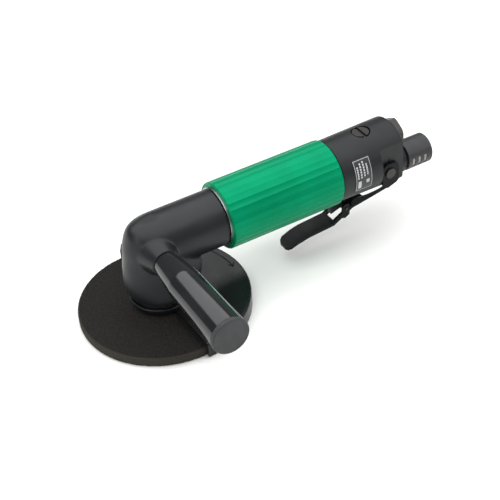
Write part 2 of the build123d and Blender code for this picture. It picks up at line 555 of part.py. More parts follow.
# ---- throttle housing ----
def throttle_housing():
    """Rear casting that holds the inlet, the throttle valve, the regulator and the exhaust."""
    feed_z, side_y, side_z = BODY_Z - 9.3, 11.5, 52.0
    with BuildPart() as housing:
        turned_x(((HOUSING_START, 0), (HOUSING_START, HOUSING_R), (HOUSING_END, HOUSING_REAR_R), (HOUSING_END, 0)))
        fillet(housing.edges().filter_by(GeomType.CIRCLE).sort_by(Axis.X)[-1], radius=1.2)
        bar_x(145.45, HOUSING_START, 22.6)
        bar_x(136.6, 145.45, CASING_BORE - FIT)
        for side in (1, -1):
            y_in, y_out = sorted((side * FLAT_Y, side * 30.0))
            box(FLAT_X, 210.0, y_in, y_out, 30.0, 100.0, mode=Mode.SUBTRACT)
        box(160.0, 190.0, -11.5, 11.5, 30.0, 41.0, mode=Mode.SUBTRACT)
        # index mark above the near cheek
        box(188.2, 189.2, -20.0, -FLAT_Y + 0.5, 63.0, 68.0, mode=Mode.SUBTRACT)
        # air way: inlet thread, passage to the valve chamber, feed to the motor
        bar_x(186.5, 210.0, 9.0, z=INLET_Z, mode=Mode.SUBTRACT)
        bar_x(VALVE_X, 186.5, 5.5, z=INLET_Z, mode=Mode.SUBTRACT)
        bar_z(30.0, 71.0, 7.5, x=VALVE_X, mode=Mode.SUBTRACT)
        bar_z(71.0, 78.0, 5.0, x=VALVE_X, mode=Mode.SUBTRACT)
        bar_x(130.0, VALVE_X, 3.0, z=feed_z, mode=Mode.SUBTRACT)
        # spent air: two side ways, joined across, and the tapped hole for the collar
        for side in (1, -1):
            bar_x(130.0, 182.0, 3.0, y=side * side_y, z=side_z, mode=Mode.SUBTRACT)
        bar_y(side_y, -side_y, 3.0, 180.0, side_z, mode=Mode.SUBTRACT)
        bar_x(179.0, 210.0, 8.3, z=EXHAUST_Z, mode=Mode.SUBTRACT)
        # regulator bore and blind holes for the lever's pins
        bar_z(69.6, 90.0, REGULATOR_R, x=REGULATOR_X, mode=Mode.SUBTRACT)
        bar_z(84.0, 90.0, 7.5, x=REGULATOR_X, mode=Mode.SUBTRACT)
        for side in (1, -1):
            y_hi, y_lo = sorted((side * 13.0, side * 25.0), reverse=True)
            bar_y(y_hi, y_lo, 2.5, LEVER_PIVOT_X, LEVER_PIVOT_Z, mode=Mode.SUBTRACT)
    save("throttle_housing", housing.part)

    with BuildPart() as gasket:
        bar_x(136.05, 136.55, CASING_BORE - 0.2)
        bar_x(136.05, 136.55, 16.9, mode=Mode.SUBTRACT)
    save("housing_gasket", gasket.part)

    label_x0, label_x1, label_from, label_to, label_t = 155.6, 170.2, 49.0, 112.0, 0.3
    with BuildPart() as label:
        slope = (HOUSING_REAR_R - HOUSING_R) / (HOUSING_END - HOUSING_START)
        low, high = [HOUSING_R + slope * (x - HOUSING_START) + 0.02 for x in (label_x0, label_x1)]
        turned_x(((label_x0, low), (label_x0, low + label_t), (label_x1, high + label_t), (label_x1, high)))
        with BuildSketch(across(label_x0)) as wedge:
            with BuildLine():
                Polyline((0, 0), (-60 * sin(radians(label_from)), 60 * cos(radians(label_from))),
                         (-60 * sin(radians(label_to)), 60 * cos(radians(label_to))), close=True)
            make_face()
        extrude(wedge.sketch, amount=label_x1 - label_x0, mode=Mode.INTERSECT)
    save("label_plate", label.part)


def throttle_valve():
    """Poppet valve pushed up by the lever, in a bush screwed in from below."""
    seat_z, stem_r, guide_r = 60.0, 2.5, 2.5 + RUN
    feed_z = BODY_Z - 9.3
    with BuildPart() as bush:
        bar_z(41.5, seat_z, 7.5 - FIT, x=VALVE_X)
        bar_z(41.5, 49.0, guide_r, x=VALVE_X, mode=Mode.SUBTRACT)
        bar_z(49.0, seat_z, 4.4, x=VALVE_X, mode=Mode.SUBTRACT)
        bar_x(VALVE_X - 10, VALVE_X, 3.0, z=feed_z, mode=Mode.SUBTRACT)
    save("valve_bush", bush.part)

    with BuildPart() as seal:
        with Locations((VALVE_X, 0, seat_z + 0.85)):
            Torus(5.4, 0.8)
    save("valve_seat_ring", seal.part)

    with BuildPart() as stem:
        bar_z(34.1, 62.0, stem_r, x=VALVE_X)
        bar_z(61.8, 64.6, 6.0, x=VALVE_X)
        bar_z(64.6, 66.8, 2.2, x=VALVE_X)
        chamfer(stem.edges().filter_by(GeomType.CIRCLE).group_by(Axis.Z)[0], length=0.8)
        chamfer(stem.edges().filter_by(GeomType.CIRCLE).group_by(Axis.Z)[-1], length=0.4)
    save("valve_stem", stem.part)

    turns, wire_r, coil_r, low, high = 4, 0.5, 3.7, 65.2, 77.4
    with BuildPart() as spring:
        with BuildLine():
            wire = Helix(pitch=(high - low) / turns, height=high - low, radius=coil_r, center=(VALVE_X, 0, low))
        with BuildSketch(Plane(origin=wire @ 0, z_dir=wire % 0)):
            Circle(wire_r)
        sweep()
    save("valve_spring", spring.part)


def regulator():
    """Slotted regulator that turns in the top of the housing, with its O-ring."""
    with BuildPart() as screw:
        bar_z(84.15, 86.4, 6.4, x=REGULATOR_X)
        bar_z(69.9, 84.2, REGULATOR_R - RUN, x=REGULATOR_X)
        bar_x(REGULATOR_X - 8, REGULATOR_X + 8, 3.3, z=INLET_Z, mode=Mode.SUBTRACT)
        box(REGULATOR_X - 1.2, REGULATOR_X + 1.2, -8.0, 8.0, 85.0, 88.0, mode=Mode.SUBTRACT)
        with Locations((REGULATOR_X, 0, 81.6)):
            Torus(REGULATOR_R, 0.8, mode=Mode.SUBTRACT)
    save("power_regulator", screw.part)

    with BuildPart() as ring:
        with Locations((REGULATOR_X, 0, 81.6)):
            Torus(REGULATOR_R - 0.32, 0.28)
    save("regulator_o_ring", ring.part)


def air_inlet():
    """Hexagonal inlet bush with a G3/8 thread, and the strainer behind it."""
    hex_end = 208.3
    with BuildPart() as bush:
        bar_x(187.0, HOUSING_END, 9.0 - FIT, z=INLET_Z)
        with BuildSketch(across(HOUSING_END + 0.05, z=INLET_Z)) as hexagon:
            RegularPolygon(INLET_HEX / 2, 6, major_radius=False, rotation=30)
        extrude(hexagon.sketch, amount=hex_end - HOUSING_END - 0.05)
        bar_x(HOUSING_END - 1, HOUSING_END + 1, 9.0 - FIT, z=INLET_Z)
        turned_x(((hex_end - 1.2, 13.5), (hex_end + 0.1, 11.6), (hex_end + 0.1, 15.0), (hex_end - 1.2, 15.0)),
                 z=INLET_Z, mode=Mode.SUBTRACT)
        bar_x(192.3, 210.0, INLET_BORE_R, z=INLET_Z, mode=Mode.SUBTRACT)
        bar_x(180.0, 192.3, 5.5, z=INLET_Z, mode=Mode.SUBTRACT)
    save("inlet_bushing", bush.part)

    with BuildPart() as strainer:
        turned_x(((192.0, 4.8), (192.0, 5.5 - FIT), (187.0, 5.5 - FIT), (187.0, 0), (187.6, 0), (187.6, 4.8)),
                 z=INLET_Z)
    save("inlet_strainer", strainer.part)


def exhaust():
    """Fixed collar, and the slotted deflector that turns on it to aim the spent air."""
    groove_x, neck_x, neck_r = 211.5, 216.5, 9.9
    sleeve_x, wall_x, sleeve_bore = 213.8, 234.0, 9.9 + RUN
    with BuildPart() as collar:
        turned_x(((188.0, 6.4), (188.0, 8.25), (HOUSING_END + 0.05, 8.25), (HOUSING_END + 0.05, EXHAUST_R - 0.5),
                  (HOUSING_END + 0.55, EXHAUST_R), (groove_x - 0.5, EXHAUST_R), (groove_x, EXHAUST_R - 0.5),
                  (groove_x, neck_r), (neck_x, neck_r), (neck_x, 6.4)), z=EXHAUST_Z)
    save("exhaust_collar", collar.part)

    slot_from, slot_to, slot_w, first_slot, slot_pitch = 78.0, 117.0, 2.6, 217.2, 5.4
    with BuildPart() as deflector:
        turned_x(((sleeve_x, sleeve_bore), (sleeve_x, EXHAUST_R - 0.4), (sleeve_x + 0.4, EXHAUST_R),
                  (EXHAUST_END - 1.0, EXHAUST_R), (EXHAUST_END, EXHAUST_R - 1.0), (EXHAUST_END, 0), (wall_x, 0),
                  (wall_x, sleeve_bore)), z=EXHAUST_Z)
        for i in range(3):
            x0 = first_slot + i * slot_pitch
            for turn in (0, 180):
                with BuildSketch(across(x0, z=EXHAUST_Z)) as wedge:
                    with BuildLine():
                        Polyline((0, 0),
                                 (-20 * sin(radians(slot_from + turn)), 20 * cos(radians(slot_from + turn))),
                                 (-20 * sin(radians(slot_to + turn)), 20 * cos(radians(slot_to + turn))),
                                 close=True)
                    make_face()
                    Circle(sleeve_bore - 0.5, mode=Mode.SUBTRACT)
                extrude(wedge.sketch, amount=slot_w, mode=Mode.SUBTRACT)
    save("exhaust_deflector", deflector.part)

    with BuildPart() as felt:
        turned_x(((209.0, 3.0), (209.0, 6.3), (neck_x + 0.1, 6.3), (neck_x + 0.1, 9.65), (233.6, 9.65),
                  (233.6, 3.0)), z=EXHAUST_Z)
        # the felt stands a little way into the slots
        for i in range(3):
            x0 = first_slot + i * slot_pitch + FIT
            for turn in (0, 180):
                with BuildSketch(across(x0, z=EXHAUST_Z)) as swelling:
                    with BuildLine():
                        Polyline((0, 0),
                                 (-20 * sin(radians(slot_from + 2 + turn)), 20 * cos(radians(slot_from + 2 + turn))),
                                 (-20 * sin(radians(slot_to - 2 + turn)), 20 * cos(radians(slot_to - 2 + turn))),
                                 close=True)
                    make_face()
                    Circle(EXHAUST_R - 0.55, mode=Mode.INTERSECT)
                    Circle(9.0, mode=Mode.SUBTRACT)
                extrude(swelling.sketch, amount=slot_w - 2 * FIT)
    save("silencer_felt", felt.part)


# ---- throttle lever ----
LEVER_T, LEVER_TRAVEL = 2.4, 8.0


def squeezed_plane(degrees_in, x):
    """Plane across the motor's axis, as seen by a lever squeezed that many degrees."""
    turn = radians(-degrees_in)
    dx, dz = x - LEVER_PIVOT_X, BODY_Z - LEVER_PIVOT_Z
    origin = (LEVER_PIVOT_X + dx * cos(turn) + dz * sin(turn), 0, LEVER_PIVOT_Z - dx * sin(turn) + dz * cos(turn))
    return Plane(origin=origin, x_dir=(0, 1, 0), z_dir=(cos(turn), 0, -sin(turn)))


def lever():
    """Pressed lever: a paddle under the grip, two arms that spread round the housing, and two cheeks."""
    spread_x, arm_w = 163.0, 2.2
    under = ((104.6, 8.6), (109.0, 10.7), (115.0, 12.8), (123.4, 14.6), (146.2, 16.2), (162.1, 25.2), (176.0, 36.4),
             (186.0, 44.6))
    upper = tuple((x - (0.0 if i < 4 else 0.9), z + LEVER_T) for i, (x, z) in enumerate(under))
    with BuildPart() as plate:
        side_profile(under + tuple(reversed(upper)), 22.0, -22.0)
        plan_profile(
            ((150.0, -PADDLE_HALF), (spread_x, -PADDLE_HALF), (184.5, -CHEEK_OUT), (187.0, -CHEEK_OUT),
             (187.0, CHEEK_OUT), (184.5, CHEEK_OUT), (spread_x, PADDLE_HALF), (150.0, PADDLE_HALF),
             (118.0, PADDLE_HALF), (108.0, PADDLE_HALF - 0.6), (105.6, PADDLE_HALF - 2.2), (104.6, 3.4),
             (104.3, 0.0), (104.6, -3.4), (105.6, -PADDLE_HALF + 2.2), (108.0, -PADDLE_HALF + 0.6),
             (118.0, -PADDLE_HALF)), 0.0, 60.0, mode=Mode.INTERSECT)
        # opening between the spreading arms, and the window for the catch
        plan_profile(
            ((171.0, -(PADDLE_HALF + 5.3 - arm_w)), (184.5, -(CHEEK_OUT - arm_w)), (190.0, -(CHEEK_OUT - arm_w)),
             (190.0, CHEEK_OUT - arm_w), (184.5, CHEEK_OUT - arm_w), (171.0, PADDLE_HALF + 5.3 - arm_w)),
            0.0, 60.0, mode=Mode.SUBTRACT)
        box(147.0, 160.0, -5.0, 5.0, 0.0, 60.0, mode=Mode.SUBTRACT)
    # deeper flanges along the spreading arms, cut to clear the housing with the lever up and down
    with BuildPart() as flanges:
        side_profile((under[5], under[6], under[7], (187.0, 53.0), (180.0, 49.0), (166.0, 37.5), (160.5, 27.6)),
                     22.0, -22.0)
        with BuildSketch() as strips:
            for side in (1, -1):
                with BuildLine():
                    Polyline((spread_x - 2.0, side * (PADDLE_HALF - arm_w)), (spread_x, side * PADDLE_HALF),
                             (184.5, side * CHEEK_OUT), (187.0, side * CHEEK_OUT),
                             (187.0, side * CHEEK_IN), (184.5, side * CHEEK_IN), close=True)
                make_face()
        extrude(strips.sketch, amount=60.0, mode=Mode.INTERSECT)
    with BuildPart() as lever_part:
        add(plate.part)
        add(flanges.part)
        for squeeze in (0, LEVER_TRAVEL):
            with BuildSketch(squeezed_plane(squeeze, LEVER_PIVOT_X - 50.0)) as round_housing:
                Circle(HOUSING_REAR_R + 0.35)
            extrude(round_housing.sketch, amount=70.0, mode=Mode.SUBTRACT)
        # cheeks on the housing's flats
        for side in (1, -1):
            y_hi, y_lo = sorted((side * CHEEK_IN, side * CHEEK_OUT), reverse=True)
            side_profile(((182.0, 46.4), (184.6, 43.6), (186.6, 43.0), (194.4, 45.6), (196.6, 47.8), (196.6, 59.8),
                          (195.4, 62.8), (193.0, 64.2), (186.0, 64.2), (183.2, 62.4), (182.0, 59.4)), y_hi, y_lo)
            # ears that hold the catch
            y_hi, y_lo = sorted((side * (PADDLE_HALF - 1.8), side * PADDLE_HALF), reverse=True)
            side_profile(((153.8, 19.9), (156.4, 19.2), (160.4, 21.4), (160.6, 30.2), (158.8, 31.8), (156.2, 31.8),
                          (154.4, 30.2)), y_hi, y_lo)
            # low rim along the window
            side_profile(((146.0, 17.0), (155.0, 21.6), (155.0, 25.6), (148.8, 21.6)), y_hi, y_lo)
        bar_y(30.0, -30.0, 2.5 + RUN, LEVER_PIVOT_X, LEVER_PIVOT_Z, mode=Mode.SUBTRACT)
        bar_y(10.0, -10.0, 1.25, CATCH_X, CATCH_Z, mode=Mode.SUBTRACT)
    save("throttle_lever", lever_part.part)

    with BuildPart() as pins:
        for side in (1, -1):
            y_hi, y_lo = sorted((side * 13.2, side * (CHEEK_OUT + 0.1)), reverse=True)
            bar_y(y_hi, y_lo, 2.5 - 0.02, LEVER_PIVOT_X, LEVER_PIVOT_Z)
            y_hi, y_lo = sorted((side * (CHEEK_OUT + 0.1), side * (CHEEK_OUT + 1.2)), reverse=True)
            bar_y(y_hi, y_lo, 4.2, LEVER_PIVOT_X, LEVER_PIVOT_Z)
    save("lever_pivot_pins", pins.part)

    with BuildPart() as catch_pin:
        bar_y(PADDLE_HALF + 0.6, -PADDLE_HALF - 0.6, 1.2, CATCH_X, CATCH_Z)
    save("catch_pin", catch_pin.part)

    with BuildPart() as catch:
        side_profile(((CATCH_X - 2.4, CATCH_Z - 1.8), (CATCH_X + 1.2, CATCH_Z - 2.4), (CATCH_X + 2.5, CATCH_Z),
                      (CATCH_X + 2.6, 31.6), (CATCH_X - 0.2, 32.4), (CATCH_X - 2.4, 30.0), (147.6, 25.6),
                      (147.2, 23.2)), 2.4, -2.4)
        bar_y(4.9, -4.9, 2.3, CATCH_X, CATCH_Z)
        bar_y(6.0, 2.5, 3.0, CATCH_X, CATCH_Z, mode=Mode.SUBTRACT)
        bar_y(6.0, -6.0, 1.2 + RUN, CATCH_X, CATCH_Z, mode=Mode.SUBTRACT)
    save("lock_off_catch", catch.part)

    coil_r, wire_r, coil_y0, coil_y1 = 1.75, 0.32, 2.95, 4.75
    with BuildPart() as spring:
        with BuildLine():
            wire = Helix(pitch=0.72, height=coil_y1 - coil_y0, radius=coil_r, center=(CATCH_X, coil_y0, CATCH_Z),
                         direction=(0, 1, 0))
        with BuildSketch(Plane(origin=wire @ 0, z_dir=wire % 0)):
            Circle(wire_r)
        sweep()
    save("catch_spring", spring.part)


angle_head()
nose()
spindle_group()
bevel_gears()
pinion_bearings()
wheel()
guard()
side_handle()
motor_shell()
motor_inside()
throttle_housing()
throttle_valve()
regulator()
air_inlet()
exhaust()
lever()
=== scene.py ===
"""Looks of the right-angle air grinder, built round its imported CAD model.

Everything is in metres in the row frame: the origin is where the spindle's axis meets the wheel's
working face, +Z runs up the spindle and +X runs back along the motor.
"""

import json
from math import cos, pi, radians, sin

import bpy
from mathutils import Matrix, Vector, noise


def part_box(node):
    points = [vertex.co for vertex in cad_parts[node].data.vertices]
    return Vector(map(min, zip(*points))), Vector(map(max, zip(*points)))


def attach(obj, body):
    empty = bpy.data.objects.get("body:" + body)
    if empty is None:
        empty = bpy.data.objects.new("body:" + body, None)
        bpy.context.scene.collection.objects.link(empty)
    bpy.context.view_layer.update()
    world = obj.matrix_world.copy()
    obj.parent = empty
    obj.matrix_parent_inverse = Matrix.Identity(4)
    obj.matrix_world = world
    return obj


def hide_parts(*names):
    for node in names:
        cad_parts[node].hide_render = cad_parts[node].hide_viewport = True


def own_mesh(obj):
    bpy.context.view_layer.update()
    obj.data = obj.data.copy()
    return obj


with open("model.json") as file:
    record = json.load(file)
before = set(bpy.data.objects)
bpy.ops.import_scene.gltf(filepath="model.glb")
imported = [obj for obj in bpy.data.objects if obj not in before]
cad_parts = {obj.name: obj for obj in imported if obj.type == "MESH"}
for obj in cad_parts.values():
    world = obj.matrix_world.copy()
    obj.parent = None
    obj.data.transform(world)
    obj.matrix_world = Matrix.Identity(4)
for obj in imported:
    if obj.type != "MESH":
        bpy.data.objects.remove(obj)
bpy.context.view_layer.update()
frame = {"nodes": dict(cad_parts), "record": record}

MM = 0.001
BODY_Z = 62.3  # height of the motor's axis above the wheel's working face, mm


# ---- materials ----
class Nodes:
    """A material's node tree, with short calls for the nodes that the finishes below share."""

    def __init__(self, name):
        self.material = bpy.data.materials.new(name)
        self.material.use_nodes = True
        self.tree = self.material.node_tree
        self.shader = self.tree.nodes["Principled BSDF"]
        self.place = self.tree.nodes.new("ShaderNodeTexCoord").outputs["Object"]

    def new(self, kind, **values):
        """A node with its sockets set or linked: a value that is a socket is linked."""
        node = self.tree.nodes.new(kind)
        for key, value in values.items():
            if key.startswith("_"):
                setattr(node, key[1:], value)
            else:
                self.feed(node.inputs[key.replace("__", " ")], value)
        return node

    def feed(self, socket, value):
        if isinstance(value, bpy.types.NodeSocket):
            self.tree.links.new(value, socket)
        else:
            socket.default_value = value

    def stretched(self, x, y, z):
        """Object coordinates scaled unevenly, for grain that runs one way."""
        return self.new("ShaderNodeMapping", Vector=self.place, Scale=(x, y, z)).outputs["Vector"]

    def noise(self, scale, detail=3.0, place=None, rough=0.5):
        node = self.new("ShaderNodeTexNoise", Vector=place or self.place, Scale=scale, Detail=detail,
                        Roughness=rough)
        return node.outputs["Fac"]

    def remap(self, value, low, high, start=0.3, end=0.7):
        """A value's stretch from start to end, spread over low to high."""
        node = self.new("ShaderNodeMapRange", Value=value)
        for index, number in ((1, start), (2, end), (3, low), (4, high)):
            node.inputs[index].default_value = number
        return node.outputs[0]

    def mix(self, factor, first, second):
        node = self.new("ShaderNodeMix", _data_type="RGBA")
        self.feed(node.inputs[0], factor)
        self.feed(node.inputs[6], first)
        self.feed(node.inputs[7], second)
        return node.outputs[2]

    def bump(self, height, depth, strength=1.0, under=None):
        node = self.new("ShaderNodeBump", Height=height, Distance=depth, Strength=strength)
        if under is not None:
            self.feed(node.inputs["Normal"], under)
        return node.outputs["Normal"]

    def finish(self, **values):
        for key, value in values.items():
            self.feed(self.shader.inputs[key.replace("__", " ")], value)
        return self.material


def rgba(red, green, blue):
    return (red, green, blue, 1.0)


def enamel(name, colour, rough=(0.34, 0.46), peel=0.00006, peel_scale=420.0, grey=0.25, gloss=0.4):
    """Satin enamel on a casting: faint orange peel, patchy gloss and a little dust in the colour."""
    n = Nodes(name)
    cloud = n.noise(28.0, 4.0)
    fine = n.noise(peel_scale, 3.0)
    dust = 0.045
    dusty = tuple(c + grey * dust for c in colour)
    return n.finish(
        Base__Color=n.mix(n.remap(cloud, 0.0, 1.0), rgba(*colour), rgba(*dusty)),
        Roughness=n.remap(n.noise(60.0, 5.0), rough[0], rough[1]),
        Specular__IOR__Level=gloss,
        Normal=n.bump(fine, peel, 0.7),
    )


def metal(name, colour, rough=(0.25, 0.42), run=(60.0, 60.0, 2500.0)):
    """Machined metal with fine tool lines across the direction with the largest scale."""
    n = Nodes(name)
    lines = n.noise(1.0, 4.0, n.stretched(*run))
    dulled, depth = 0.82, 0.00001
    shade = tuple(c * dulled for c in colour)
    return n.finish(
        Base__Color=n.mix(n.remap(n.noise(90.0, 4.0), 0.0, 1.0), rgba(*colour), rgba(*shade)),
        Metallic=1.0,
        Roughness=n.remap(lines, rough[0], rough[1]),
        Normal=n.bump(lines, depth, 0.6),
    )


def moulded(name, colour, rough, texture=0.00003, scale=1500.0):
    """Moulded plastic or rubber with a fine sparked texture."""
    n = Nodes(name)
    gain, haze = 1.5, 0.004
    lighter = tuple(c * gain + haze for c in colour)
    return n.finish(
        Base__Color=n.mix(n.remap(n.noise(45.0, 4.0), 0.0, 1.0), rgba(*colour), rgba(*lighter)),
        Roughness=n.remap(n.noise(130.0, 4.0), rough[0], rough[1]),
        Normal=n.bump(n.noise(scale, 2.0), texture, 0.8),
    )


def anodised_green(name):
    """Bright green sleeve: dye over drawn alloy that shows through it a little, with faint lines along it."""
    n = Nodes(name)
    drawn = n.noise(1.0, 4.0, n.stretched(14.0, 900.0, 900.0))
    deep, bright = rgba(0.0, 0.205, 0.089), rgba(0.0, 0.262, 0.118)
    return n.finish(
        Base__Color=n.mix(n.remap(n.noise(30.0, 4.0), 0.0, 1.0), deep, bright),
        Roughness=n.remap(drawn, 0.27, 0.38),
        Normal=n.bump(drawn, 0.000006, 0.5),
        Metallic=0.24,
        Specular__IOR__Level=0.05,
    )


def abrasive(name):
    """Bonded abrasive: dark grains in resin, with pale specks and a coarse broken surface."""
    n = Nodes(name)
    grain = n.new("ShaderNodeTexVoronoi", Vector=n.place, Scale=1500.0, Randomness=1.0)
    specks = n.remap(n.noise(2600.0, 2.0), 0.0, 1.0, 0.58, 0.72)
    dark, brown, pale = rgba(0.0045, 0.0042, 0.0038), rgba(0.018, 0.0165, 0.0145), rgba(0.060, 0.056, 0.049)
    body = n.mix(n.remap(n.noise(700.0, 4.0), 0.0, 1.0), dark, brown)
    # the rim is painted browner and paler than the faces: painted light, where the floor lights the rim
    across = n.new("ShaderNodeVectorMath", Vector=n.place, _operation="MULTIPLY")
    across.inputs[1].default_value = (1.0, 1.0, 0.0)
    radius = n.new("ShaderNodeVectorMath", Vector=across.outputs[0], _operation="LENGTH").outputs["Value"]
    rim_from, rim_to = 0.0612, 0.0618
    rim_light_and_wear = n.remap(radius, 0.0, 0.75, rim_from, rim_to)
    body = n.mix(rim_light_and_wear, body, rgba(0.050, 0.044, 0.034))
    coarse = n.bump(n.noise(420.0, 5.0, rough=0.7), 0.0009, 1.0)
    return n.finish(
        Base__Color=n.mix(specks, body, pale),
        Roughness=n.remap(n.noise(900.0, 3.0), 0.78, 0.97),
        Specular__IOR__Level=0.22,
        Normal=n.bump(grain.outputs["Distance"], 0.0004, 1.0, coarse),
    )


def felt(name):
    """Pale grey felt of fine, uneven fibres."""
    n = Nodes(name)
    fibres = n.noise(1.0, 6.0, n.stretched(1800.0, 5200.0, 1800.0), 0.7)
    return n.finish(
        Base__Color=n.mix(n.remap(fibres, 0.0, 1.0), rgba(0.21, 0.20, 0.175), rgba(0.36, 0.345, 0.31)),
        Roughness=0.95,
        Sheen__Weight=0.4,
        Normal=n.bump(fibres, 0.0003, 0.8),
    )


FINISHES = {
    "black_enamel": enamel("satin_black_enamel", (0.0054, 0.0068, 0.0090), (0.34, 0.45), grey=0.08,
                           gloss=0.34),
    "black_steel": enamel("black_enamelled_steel", (0.0050, 0.0060, 0.0068), (0.24, 0.34), 0.00002, 700.0,
                          grey=0.06, gloss=0.3),
    "black_anodised": enamel("black_anodised_alloy", (0.0060, 0.0076, 0.0086), (0.36, 0.47), 0.00002, 1300.0,
                             grey=0.08, gloss=0.3),
    "dark_steel": metal("blackened_steel", (0.066, 0.064, 0.061), (0.36, 0.52)),
    "steel": metal("ground_steel", (0.52, 0.53, 0.54), (0.2, 0.38), (3000.0, 80.0, 80.0)),
    "seal_rubber": moulded("seal_rubber_black", (0.012, 0.012, 0.012), (0.6, 0.8)),
    "abrasive": abrasive("bonded_abrasive"),
    "black_grip": moulded("glossy_black_grip", (0.0055, 0.0058, 0.0068), (0.08, 0.13), 0.000004, 500.0),
    "black_cap": moulded("grey_black_cap", (0.021, 0.0222, 0.0235), (0.55, 0.7), 0.00005, 1100.0),
    "green_anodised": anodised_green("green_anodised_sleeve"),
    "cast_iron": metal("machined_iron", (0.25, 0.25, 0.255), (0.4, 0.6)),
    "vane_composite": moulded("vane_laminate", (0.12, 0.07, 0.035), (0.5, 0.7)),
    "gasket": moulded("gasket_sheet", (0.05, 0.05, 0.045), (0.7, 0.9)),
    "label": enamel("label_foil", (0.018, 0.02, 0.022), (0.28, 0.36), 0.00001, 900.0),
    "brass": metal("turned_brass", (0.62, 0.42, 0.15), (0.22, 0.4)),
    "black_polymer": moulded("black_polymer", (0.013, 0.0135, 0.015), (0.34, 0.5), 0.00003, 1500.0),
    "felt": felt("silencer_felt_fibre"),
}
INK = moulded("label_print", (0.42, 0.43, 0.43), (0.5, 0.65), 0.000004, 900.0)
LEVER_ENAMEL = enamel("lever_enamel", (0.0046, 0.0056, 0.0062), (0.28, 0.4), 0.00002, 700.0,
                      grey=0.05, gloss=0.12)
GROOVE_PAINT = moulded("groove_paint", (0.002, 0.002, 0.002), (0.75, 0.9), 0.00001, 900.0)
SLOT_OF = {s["node"]: s["material_slot"] for s in frame["record"]["subparts"]}


def dress(shape, slot):
    """Give a shape the one finish that the record's slot names."""
    shape.data.materials.clear()
    shape.data.materials.append(FINISHES[slot])


for node, shown in frame["nodes"].items():
    dress(shown, SLOT_OF[node])
frame["nodes"]["throttle_lever"].data.materials[0] = LEVER_ENAMEL


# ---- pieces drawn finer than the CAD model ----
HEAD_VOXEL, HEAD_SMOOTHING = 0.0006, 45  # m, and passes of smoothing


def copy_of(node, name):
    """A copy of a CAD node's shape, free to be changed."""
    source = frame["nodes"][node]
    shape = bpy.data.objects.new(name, source.data.copy())
    shape.matrix_world = source.matrix_world.copy()
    bpy.context.scene.collection.objects.link(shape)
    return shape


def apply_modifiers(shape):
    """Give a shape the mesh that its modifiers make."""
    mesh = bpy.data.meshes.new_from_object(shape.evaluated_get(bpy.context.evaluated_depsgraph_get()))
    shape.modifiers.clear()
    shape.data = mesh
    return mesh


def piece(name, vertices, faces, body, material, smooth=False):
    """A mesh that rides on a body, from vertices in millimetres."""
    mesh = bpy.data.meshes.new(name)
    mesh.from_pydata([tuple(c * MM for c in v) for v in vertices], [], faces)
    mesh.materials.append(material)
    if smooth:
        mesh.shade_smooth()
    shape = bpy.data.objects.new(name, mesh)
    bpy.context.scene.collection.objects.link(shape)
    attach(shape, body)
    return shape


def ramp(value, start, width):
    """0 up to start, 1 from start + width on, and straight in between."""
    return min(1.0, max(0.0, (value - start) / width))


def head_blend(at):
    """How much the head is smoothed at a point in mm: its outer skin, fading out towards machined parts."""
    neck_inner, dome_z, tube_x, tube_inner = 17.5, 70.0, 20.0, 19.0
    in_neck = Vector((at.x, at.y)).length <= neck_inner and at.z <= dome_z
    in_tube = at.x > tube_x and Vector((at.y, at.z - BODY_Z)).length < tube_inner
    if in_neck or in_tube:
        return 0.0
    tube_stop, neck_stop, handle_seat, far_socket, fade, short_fade = 42.0, 30.0, -25.6, 19.8, 8.0, 2.0
    plug, plug_reach, plug_fade = Vector((-19.0, 12.8, 54.4)), 9.0, 3.0
    ends = ramp(-at.x, -tube_stop, fade) * ramp(at.z, neck_stop, fade)
    sides = ramp(at.y, handle_seat, short_fade) * ramp(-at.y, -far_socket, short_fade)
    return ends * sides * ramp((at - plug).length, plug_reach, plug_fade)


def square_tube_end(shape):
    """Set the tube's end corner back where the casting has it, since the remesh rounds it unevenly."""
    tube_end, tube_r, reach = 49.7, 21.6, 0.75
    inverse = shape.matrix_world.inverted()
    for vertex in shape.data.vertices:
        at = (shape.matrix_world @ vertex.co) / MM
        ring = Vector((0.0, at.y, at.z - BODY_Z))
        if abs(at.x - tube_end) < reach and abs(ring.length - tube_r) < reach:
            ring = ring.normalized() * tube_r
            vertex.co = inverse @ (Vector((tube_end, ring.y, ring.z + BODY_Z)) * MM)


def blended_head():
    """The casting with its sharp joins run into each other, as a fillet would, and all else kept."""
    shape = copy_of("angle_head", "blended_head")
    remesh = shape.modifiers.new("even", "REMESH")
    remesh.mode, remesh.voxel_size = "VOXEL", HEAD_VOXEL
    solid = apply_modifiers(shape)
    group = shape.vertex_groups.new(name="blend")
    for vertex in solid.vertices:
        weight = head_blend((shape.matrix_world @ vertex.co) / MM)
        if weight > 0.0:
            group.add([vertex.index], weight, "REPLACE")
    smooth = shape.modifiers.new("run_together", "SMOOTH")
    smooth.factor, smooth.iterations, smooth.vertex_group = 0.5, HEAD_SMOOTHING, "blend"
    finished = apply_modifiers(shape)
    square_tube_end(shape)
    dress(shape, "black_enamel")
    finished.shade_smooth()
    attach(shape, "housing")
    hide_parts("angle_head")


WHEEL_THICK, RIM_BAND = 7.0, 1.0


